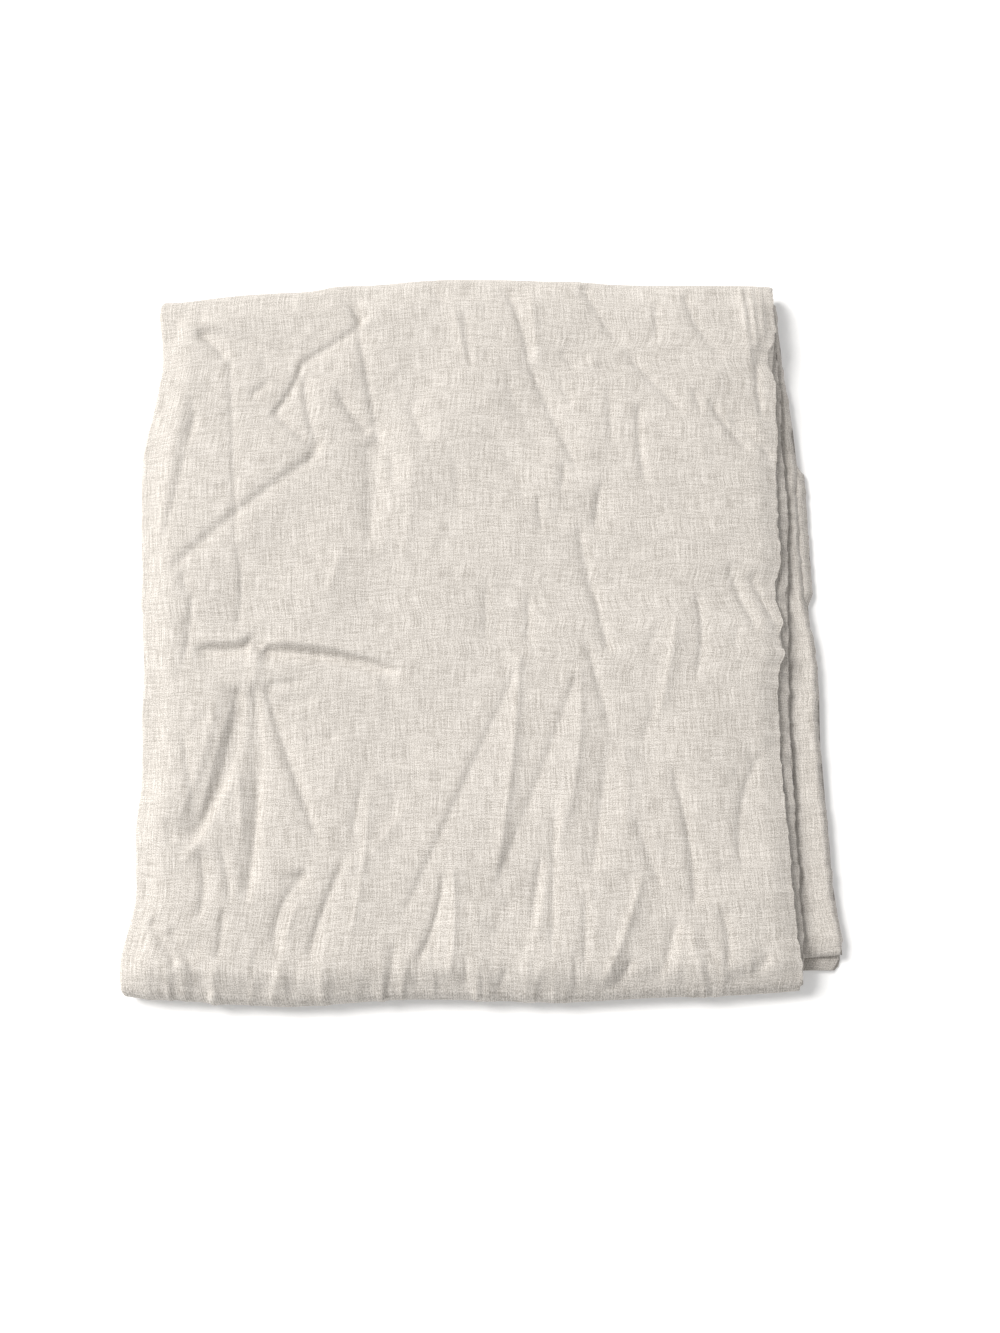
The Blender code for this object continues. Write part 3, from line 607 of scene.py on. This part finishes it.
def sheet_points(column, row, outer, strength):
    """Points of one skin of the folded sheet, outer or inner, at whole or part columns and rows.

    A point starts on the strip's path, goes out along the path's normal by its ply's height in the strip,
    and across between the two sides of the outline. The swell, the sinks and the hang then move it up or
    down. Half the thickness, and on the top its relief, go the way in which the cloth's outer side faces.
    """
    across, turn, folded, back, bend, middle, facing = at_index(SECTION, column)
    along, tilt, lower, bottom, curl, level, outward = at_index(PATH, row)
    side = bend * np.cos(turn)
    rise = middle + bend * np.sin(turn)
    out = outward * np.cos(tilt)
    up = outward * np.sin(tilt)
    face_side = facing * np.cos(turn)
    face_rise = facing * np.sin(turn)

    edges = table(EDGES, EDGE_COLUMNS)
    ends = table(ENDS, END_COLUMNS)
    nominal_x = np.interp(across, (0, 1), NOMINAL_SIDES)
    far = curve(nominal_x, ends["x"], ends["far"]) - 2 * STRIP
    near_upper = curve(nominal_x, ends["x"], ends["near"]) + STRIP
    near_bottom = curve(nominal_x, ends["x"], ends["bottom"])
    near_fourth = curve(nominal_x, ends["x"], ends["fourth"])
    near = near_upper * (1 - lower) + (near_bottom * bottom + near_fourth * (1 - bottom)) * lower
    spine = near + (far - near) * along + curl * np.cos(tilt)
    y = spine + out * rise

    left = []
    right = []
    for half in ("upper", "lower"):
        ply_edge = curve(y, edges["y"], edges[half + "_ply"])
        fold_edge = curve(y, edges["y"], edges[half + "_fold"])
        left.append(curve(y, edges["y"], edges[half + "_left"]))
        right.append(ply_edge * (1 - folded) + fold_edge * folded)
    left_side = left[0] * (1 - lower) + left[1] * lower + OUTER_PLY
    ragged = waves(y, EDGE_WAVES, WAVE_SHIFT * (folded + np.round(level / STRIP - 0.5)))
    right_side = right[0] * (1 - lower) + right[1] * lower + back + ragged
    x = left_side + (right_side - left_side) * across + side

    z = level + curl * np.sin(tilt) + up * rise
    inside_x = 1 - np.clip(x / SWELL_HALF_WIDTH, -1, 1) ** 2
    inside_y = 1 - np.clip(y / SWELL_HALF_LENGTH, -1, 1) ** 2
    z = INNER_PLY + (z - INNER_PLY) * (1 + SWELL * inside_x * inside_y)
    top = (row > UPPER_START - STEPS_WRAP) & (row < THIRD_START) & (column < PLY_COLUMNS + STEPS_LEFT)
    from_right = right_side - x
    uneven = 1 + SINK_UNEVEN * waves(y, PUCKER_WAVES, SINK_LAG) / MM
    sink = SINK_UPPER * (1 - lower) * np.clip(1 - from_right / SINK_REACH, 0, SINK_PAST) ** 2 * uneven * ~top
    thin = THIN_UPPER * (1 - lower) * np.clip(1 - from_right / THIN_REACH, 0, 1) ** 2
    z = z - (thin + sink * (1 - thin)) * np.maximum(z - 2 * STRIP, 0)
    right_drop = np.clip(1 - from_right / SINK_RIGHT_REACH, 0, SINK_PAST) ** 2
    near_drop = np.clip(1 - (y - near) / SINK_NEAR_REACH, 0, 1) ** 2
    z = z * (1 - SINK_LOWER * lower * np.maximum(right_drop, near_drop))
    from_near = y - curve(nominal_x, ends["x"], ends["near"])
    z = z - (1 - lower) * hang(from_near, x - left[0], y)

    shift = np.full_like(x, PLY / 2 if outer else -PLY / 2)
    if outer:
        shift[top] += top_relief(x, y, row, column, left_side, right_side, far, near, strength)[top]
    x = x + face_side * shift
    y = y + out * face_rise * shift
    z = z + up * face_rise * shift
    return np.stack((x, y, z), axis=1)


def top_relief(x, y, row, column, left_side, right_side, far, near, strength):
    """Height of the top over the flat ply: its loft, which is less at the edges, the creases of the table,
    the small crumple and the sewn edge's puckers, never less than a hair. It dies out round the bends."""
    round_near = smooth((THIRD_START - row) / STEPS_NEAR)
    round_far = smooth((row - (UPPER_START - STEPS_WRAP)) / STEPS_WRAP)
    round_left = smooth((PLY_COLUMNS + STEPS_LEFT - column) / STEPS_LEFT)
    from_line = x - CREASE_X
    height = np.zeros_like(x)
    for crease in CREASES:
        height += crease_height(from_line, y, crease)
    height += crumple_height(from_line, y)
    loft = LOFT * smooth(LOFT_ENDS_START + (y - near) / LOFT_ENDS)
    loft = loft * smooth(LOFT_ENDS_START + (far - y) / LOFT_ENDS)
    loft = loft * smooth(LOFT_LEFT_START + (x - left_side) / LOFT_LEFT)
    loft = loft * smooth(LOFT_RIGHT_START + (right_side - x) / LOFT_RIGHT)
    edge = np.exp(-np.clip(right_side - x, 0, 1) / PUCKER_REACH)
    pucker = np.abs(waves(y, PUCKER_WAVES, 0.0)) * edge
    total = loft + height * strength * (1 - PUCKER_CALM * edge) + pucker
    soft = 0.5 * (total + LOFT_LEAST + np.sqrt((total - LOFT_LEAST) ** 2 + LOFT_ROUND ** 2))
    return soft * round_near * round_far * round_left


def fine_counts(cells, length, cell_size, fineness):
    """How many fine cells a whole cell takes: by its length on the flat cloth, or by its angle in a bend."""
    straight = np.abs(cells[:, 1] - cells[:, 0]) * length / cell_size * fineness
    bent = np.abs(cells[:, 3] - cells[:, 2]) / CELL_ROUND
    return np.maximum(1, np.rint(np.maximum(straight, bent))).astype(int)


def skin(fine, cuts_across, cuts_along):
    """One skin as faces on a grid: whole cells, and finer ones where fine is true.

    Corners are numbered on the fine grid. A whole cell beside a fine one takes the fine cell's corners on
    their shared side, so no gap opens. Returns where the whole lines fall among the fine ones, across and
    along, the step in numbers from one fine line across to the next, the quads, and the faces with more
    corners.
    """
    lines_across = np.concatenate(((0,), np.cumsum(cuts_across)))
    lines_along = np.concatenate(((0,), np.cumsum(cuts_along)))
    stride = lines_along[-1] + 1
    of_across = np.repeat(np.arange(len(cuts_across)), cuts_across)
    of_along = np.repeat(np.arange(len(cuts_along)), cuts_along)
    a, b = np.nonzero(fine[of_across][:, of_along])
    corner = a * stride + b
    quads = [np.stack((corner, corner + stride, corner + stride + 1, corner + 1), 1)]
    around = np.pad(fine, 1)
    beside = around[:-2, 1:-1] | around[2:, 1:-1] | around[1:-1, :-2] | around[1:-1, 2:]
    i, j = np.nonzero(~fine & ~beside)
    low_a, high_a = lines_across[i] * stride, lines_across[i + 1] * stride
    low_b, high_b = lines_along[j], lines_along[j + 1]
    quads.append(np.stack((low_a + low_b, high_a + low_b, high_a + high_b, low_a + high_b), 1))
    many = []
    for i, j in zip(*np.nonzero(~fine & beside)):
        near_side = side_corners(lines_across, i, around[i + 1, j])
        right_side = side_corners(lines_along, j, around[i + 2, j + 1])
        far_side = side_corners(lines_across, i, around[i + 1, j + 2])
        left_side = side_corners(lines_along, j, around[i, j + 1])
        face = [k * stride + lines_along[j] for k in near_side[:-1]]
        face += [lines_across[i + 1] * stride + k for k in right_side[:-1]]
        face += [k * stride + lines_along[j + 1] for k in far_side[:0:-1]]
        face += [lines_across[i] * stride + k for k in left_side[:0:-1]]
        many.append(face)
    return lines_across, lines_along, stride, np.concatenate(quads), many


def side_corners(lines, cell, split):
    """Grid lines on a whole cell's side: its two ends, or every fine line where the neighbour is fine."""
    if split:
        return list(range(lines[cell], lines[cell + 1] + 1))
    return [lines[cell], lines[cell + 1]]


def folded_sheet(strength):
    """Points, faces and flat positions of the whole closed sheet: outer skin, inner skin and rims."""
    columns = len(SECTION)
    rows = len(PATH)
    fineness = np.full(rows, FINENESS_ELSEWHERE)
    fineness[UPPER_START:UPPER_END] = ROWS_FINENESS[::-1]
    cuts_across = fine_counts(SECTION, PANEL_WIDTH, CELL_ACROSS, 1.0)
    cuts_across[FOLD_SEEN] = FOLD_CUTS
    cuts_along = fine_counts(PATH, PANEL_LENGTH, CELL_ALONG, fineness)
    fine = np.zeros((columns, rows), dtype=bool)
    fine[:PLY_COLUMNS + STEPS_LEFT, UPPER_START - STEPS_WRAP:THIRD_START] = True
    fine[:STRIP_COLUMNS_SEEN, FOURTH_START:] = True
    fine[FOLD_SEEN, UPPER_START:UPPER_END] = True
    fine[FOLD_SEEN, STEP_ROWS] = True
    lines_across, lines_along, stride, quads, many = skin(fine, cuts_across, cuts_along)

    rims = []
    for i in range(columns):
        for line, split, forwards in ((0, fine[i, 0], True), (rows, fine[i, -1], False)):
            seam = [k * stride + lines_along[line] for k in side_corners(lines_across, i, split)]
            rims.append(seam if forwards else seam[::-1])
    for j in range(rows):
        for line, split, forwards in ((0, fine[0, j], False), (columns, fine[-1, j], True)):
            seam = [lines_across[line] * stride + k for k in side_corners(lines_along, j, split)]
            rims.append(seam if forwards else seam[::-1])

    grid_a, grid_b = np.meshgrid(lines_across[:-1], lines_along[:-1], indexing="ij")
    next_a, next_b = np.meshgrid(lines_across[1:], lines_along[1:], indexing="ij")
    inner = np.stack([(u * stride + v).ravel() for u, v in
                      ((grid_a, grid_b), (grid_a, next_b), (next_a, next_b), (next_a, grid_b))], 1)

    outer_used = np.unique(np.concatenate([quads.ravel(), np.array(sum(many, []))]))
    inner_used = np.unique(inner)
    base = len(outer_used)
    faces = np.searchsorted(outer_used, quads).tolist()
    faces += [np.searchsorted(outer_used, face).tolist() for face in many]
    faces += (np.searchsorted(inner_used, inner) + base).tolist()
    for seam in rims:
        above = np.searchsorted(outer_used, seam).tolist()
        below = (np.searchsorted(inner_used, (seam[-1], seam[0])) + base).tolist()
        faces.append(above[::-1] + below[::-1])

    points = []
    flats = []
    for used, outer in ((outer_used, True), (inner_used, False)):
        column = np.interp(used // stride, lines_across, np.arange(columns + 1))
        row = np.interp(used % stride, lines_along, np.arange(rows + 1))
        points.append(sheet_points(column, row, outer, strength))
        across = flat_position(SECTION, PANEL_WIDTH, column)
        along = flat_position(PATH, PANEL_LENGTH, row)
        flats.append(np.stack((across, along), axis=1))
    return np.concatenate(points), faces, np.concatenate(flats)


class Socket:
    """A shader socket that can be added, subtracted and multiplied."""

    def __init__(self, nodes, socket):
        self.nodes = nodes
        self.socket = socket

    def _maths(self, operation, first, second):
        return self.nodes.make("ShaderNodeMath", {"operation": operation}, {0: first, 1: second})

    def __add__(self, other):
        return self._maths("ADD", self, other)

    __radd__ = __add__

    def __sub__(self, other):
        return self._maths("SUBTRACT", self, other)

    def __rsub__(self, other):
        return self._maths("SUBTRACT", other, self)

    def __mul__(self, other):
        return self._maths("MULTIPLY", self, other)

    __rmul__ = __mul__


class Shader:
    """A material's node tree, filled through one method."""

    def __init__(self, name):
        self.material = bpy.data.materials.new(name)
        self.material.use_nodes = True
        self.tree = self.material.node_tree
        self.surface = self.tree.nodes["Principled BSDF"]

    def make(self, kind, settings=None, inputs=None, output=0):
        """A node of a type, with its settings and then its inputs' values or links."""
        node = self.tree.nodes.new(kind)
        for name, value in (settings or {}).items():
            setattr(node, name, value)
        for name, value in (inputs or {}).items():
            self.put(node.inputs[name], value)
        return Socket(self, node.outputs[output])

    def put(self, entry, value):
        """Link a socket to an input, or set the input's own value."""
        if isinstance(value, Socket):
            self.tree.links.new(value.socket, entry)
        else:
            entry.default_value = value

    def mix(self, share, first, second):
        """A colour between two others."""
        kind = {"data_type": "RGBA", "blend_type": "MIX"}
        return self.make("ShaderNodeMix", kind, {0: share, 6: first, 7: second}, output=2)

    def noise(self, vector, detail=1.0):
        """Noise from 0 to 1 at a vector."""
        return self.make("ShaderNodeTexNoise", {"noise_dimensions": "3D"},
                         {"Vector": vector, "Scale": 1.0, "Detail": detail, "Roughness": 0.5})

    def stretched(self, vector, across, along, lift=0.0):
        """The cloth's flat coordinates over a length across and one along, with a lift of its own."""
        return self.make("ShaderNodeMapping", {"vector_type": "POINT"},
                         {"Vector": vector, "Location": (lift, lift, lift),
                          "Scale": (1 / across, 1 / along, 1.0)})


def cloth_material(look):
    """Washed linen weave: light and dark threads in slubby streaks along and across, with a fine bump."""
    shader = Shader("linen_weave")
    flat = shader.make("ShaderNodeUVMap", {"uv_map": "flat_cloth"})
    warp = shader.noise(shader.stretched(flat, look.warp_width, look.slub_length))
    weft = shader.noise(shader.stretched(flat, look.slub_length * WEFT_SLUB, look.weft_width, 3.7))
    grain = shader.noise(shader.stretched(flat, *GRAIN_SIZE, 8.1))
    long_slub = shader.noise(shader.stretched(flat, *LONG_SLUB_SIZE, 2.2))
    cloud = shader.noise(shader.stretched(flat, *CLOUD_SIZE, 5.3), 2.0)
    thread = (warp - 0.5) * look.warp_strength + (weft - 0.5) * look.weft_strength
    thread = thread + (grain - 0.5) * look.grain_strength
    thread = thread + (long_slub - 0.5) * LONG_SLUB_STRENGTH + (cloud - 0.5) * CLOUD_STRENGTH + 0.5
    share = shader.make("ShaderNodeClamp", None, {"Value": thread})
    colour = shader.mix(share, tuple(look.dark_thread) + (1,), tuple(look.light_thread) + (1,))
    shader.put(shader.surface.inputs["Base Color"], colour)
    for name, value in CLOTH_FINISH:
        shader.put(shader.surface.inputs[name], value)
    fine = warp * 0.5 + weft * 0.4 + grain * 0.5
    rumple = shader.noise(shader.stretched(flat, *RUMPLE_SIZE, 1.3))
    height = fine * THREAD_HEIGHT + rumple * RUMPLE_HEIGHT
    bump = shader.make("ShaderNodeBump", None, {"Strength": 1.0, "Distance": look.bump, "Height": height})
    shader.put(shader.surface.inputs["Normal"], bump)
    return shader.material


class FoldedCoverCloth(bpy.types.PropertyGroup):
    """Sizes and colours of the cover."""

    flat_width: bpy.props.FloatProperty(
        name="Flat width", description="Width of the cover laid out flat", default=2.0, unit="LENGTH")
    flat_length: bpy.props.FloatProperty(
        name="Flat length", description="Length of the cover laid out flat", default=2.25, unit="LENGTH")
    crumple: bpy.props.FloatProperty(
        name="Crumple", description="Height of the creases, against those of the table", default=1.12,
        min=0.0)
    light_thread: bpy.props.FloatVectorProperty(
        name="Light thread", description="Colour of the light threads", subtype="COLOR",
        default=(0.79, 0.748, 0.70))
    dark_thread: bpy.props.FloatVectorProperty(
        name="Dark thread", description="Colour of the dark threads", subtype="COLOR",
        default=(0.355, 0.326, 0.29))
    warp_width: bpy.props.FloatProperty(
        name="Warp width", description="Width of a slub along the cloth", default=0.75 * MM, unit="LENGTH",
        precision=5)
    weft_width: bpy.props.FloatProperty(
        name="Weft width", description="Width of a slub across the cloth", default=0.75 * MM, unit="LENGTH",
        precision=5)
    slub_length: bpy.props.FloatProperty(
        name="Slub length", description="Length of a slub", default=20 * MM, unit="LENGTH", precision=4)
    warp_strength: bpy.props.FloatProperty(
        name="Warp streaks", description="Contrast of the streaks along the cloth", default=1.15, min=0.0)
    weft_strength: bpy.props.FloatProperty(
        name="Weft streaks", description="Contrast of the streaks across the cloth", default=0.85, min=0.0)
    grain_strength: bpy.props.FloatProperty(
        name="Grain", description="Contrast of the single threads", default=2.2, min=0.0)
    bump: bpy.props.FloatProperty(
        name="Bump", description="How strongly the weave stands out", default=1.0, min=0.0)


class FoldedCoverStage(bpy.types.PropertyGroup):
    """Floor and light."""

    floor: bpy.props.FloatVectorProperty(
        name="Floor", description="Colour of the floor", subtype="COLOR", default=(0.93, 0.93, 0.93))
    sky: bpy.props.FloatProperty(
        name="Soft light", description="Strength of the light from all round", default=0.42, min=0.0)
    key: bpy.props.FloatProperty(
        name="Key light", description="Power of the large lamp at the far left", default=1010.0,
        unit="POWER")
    glow: bpy.props.FloatProperty(
        name="Floor glow", description="Light given off by the floor itself", default=0.2, min=0.0)


class FOLDEDCOVER_OT_cloth(bpy.types.Operator):
    """Build the folded cover and give it its cloth"""

    bl_idname = "folded_cover.cloth"
    bl_label = "Folded cover"

    def execute(self, context):
        look = context.scene.folded_cover_cloth
        points, faces, flats = folded_sheet(look.crumple)
        points += (PLACE_X, PLACE_Y, BOX_LOW[2] - points[:, 2].min())
        mesh = bpy.data.meshes.new("cover_cloth")
        mesh.from_pydata(points.tolist(), [], faces)
        corner = np.empty(len(mesh.loops), dtype=np.int32)
        mesh.loops.foreach_get("vertex_index", corner)
        layer = mesh.uv_layers.new(name="flat_cloth")
        layer.data.foreach_set("uv", flats[corner].ravel())
        mesh.validate()
        mesh.shade_smooth()
        mesh.set_sharp_from_angle(angle=math.radians(SHARP_ANGLE))
        mesh.materials.append(cloth_material(look))
        cover = bpy.data.objects.new("cover_cloth", mesh)
        context.scene.collection.objects.link(cover)
        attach(cover, "root")
        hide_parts(NODE)
        return {"FINISHED"}


class FOLDEDCOVER_OT_stage(bpy.types.Operator):
    """Lay a plain floor, hang the soft light and place the camera"""

    bl_idname = "folded_cover.stage"
    bl_label = "Stage"

    def execute(self, context):
        scene = context.scene
        look = scene.folded_cover_stage
        scene.view_settings.view_transform = "Standard"
        corners = [(x * FLOOR_HALF, y * FLOOR_HALF, -FLOOR_DROP) for x, y in SQUARE]
        mesh = bpy.data.meshes.new("floor")
        mesh.from_pydata(corners, [], [(0, 1, 2, 3)])
        shader = Shader("floor")
        shader.put(shader.surface.inputs["Base Color"], tuple(look.floor) + (1,))
        shader.put(shader.surface.inputs["Roughness"], 0.95)
        shader.put(shader.surface.inputs["Specular IOR Level"], 0.0)
        shader.put(shader.surface.inputs["Emission Color"], tuple(look.floor) + (1,))
        shader.put(shader.surface.inputs["Emission Strength"], look.glow)
        mesh.materials.append(shader.material)
        floor = bpy.data.objects.new("floor", mesh)
        scene.collection.objects.link(floor)

        world = bpy.data.worlds.new("studio")
        world.use_nodes = True
        world.node_tree.nodes["Background"].inputs["Color"].default_value = SKY_COLOUR
        world.node_tree.nodes["Background"].inputs["Strength"].default_value = look.sky
        scene.world = world
        self.lamp(scene, "key", KEY_PLACE, KEY_SIZE, look.key, KEY_COLOUR)

        top = BOX_HIGH[2] - CREST_ABOVE_TOP
        camera = bpy.data.cameras.new("camera")
        camera.sensor_fit = "VERTICAL"
        camera.sensor_height = SENSOR
        camera.lens = SENSOR * FOCAL_PIXELS / IMAGE_HEIGHT
        holder = bpy.data.objects.new("camera", camera)
        holder.location = (CAMERA_X, -CAMERA_BACK, top + CAMERA_ABOVE)
        holder.rotation_euler = (math.radians(CAMERA_TILT), 0, 0)
        scene.collection.objects.link(holder)
        scene.camera = holder
        return {"FINISHED"}

    def lamp(self, scene, name, place, size, power, colour):
        """A square soft lamp that faces the bundle's middle."""
        light = bpy.data.lights.new(name, "AREA")
        light.size = size
        light.energy = power
        light.color = colour
        holder = bpy.data.objects.new(name, light)
        holder.location = place
        holder.rotation_euler = (-Vector(place)).to_track_quat("-Z", "Y").to_euler()
        scene.collection.objects.link(holder)


class FOLDEDCOVER_PT_panel(bpy.types.Panel):
    """Lists the cover's pieces and their settings"""

    bl_idname = "FOLDEDCOVER_PT_panel"
    bl_label = "Folded cover"
    bl_space_type = "VIEW_3D"
    bl_region_type = "UI"
    bl_category = "Folded cover"

    def draw(self, context):
        for settings, operator in ((context.scene.folded_cover_cloth, FOLDEDCOVER_OT_cloth),
                                   (context.scene.folded_cover_stage, FOLDEDCOVER_OT_stage)):
            box = self.layout.box()
            for name in settings.__annotations__:
                box.prop(settings, name)
            box.operator(operator.bl_idname)


CLASSES = (FoldedCoverCloth, FoldedCoverStage, FOLDEDCOVER_OT_cloth, FOLDEDCOVER_OT_stage,
           FOLDEDCOVER_PT_panel)


def register():
    """Register the classes, with their settings on the scene."""
    for item in CLASSES:
        bpy.utils.register_class(item)
    bpy.types.Scene.folded_cover_cloth = bpy.props.PointerProperty(type=FoldedCoverCloth)
    bpy.types.Scene.folded_cover_stage = bpy.props.PointerProperty(type=FoldedCoverStage)


def unregister():
    """Undo what register did."""
    del bpy.types.Scene.folded_cover_stage
    del bpy.types.Scene.folded_cover_cloth
    for item in reversed(CLASSES):
        bpy.utils.unregister_class(item)


def main():
    """Register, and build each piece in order."""
    register()
    bpy.ops.folded_cover.cloth()
    bpy.ops.folded_cover.stage()


if __name__ == "__main__":
    main()
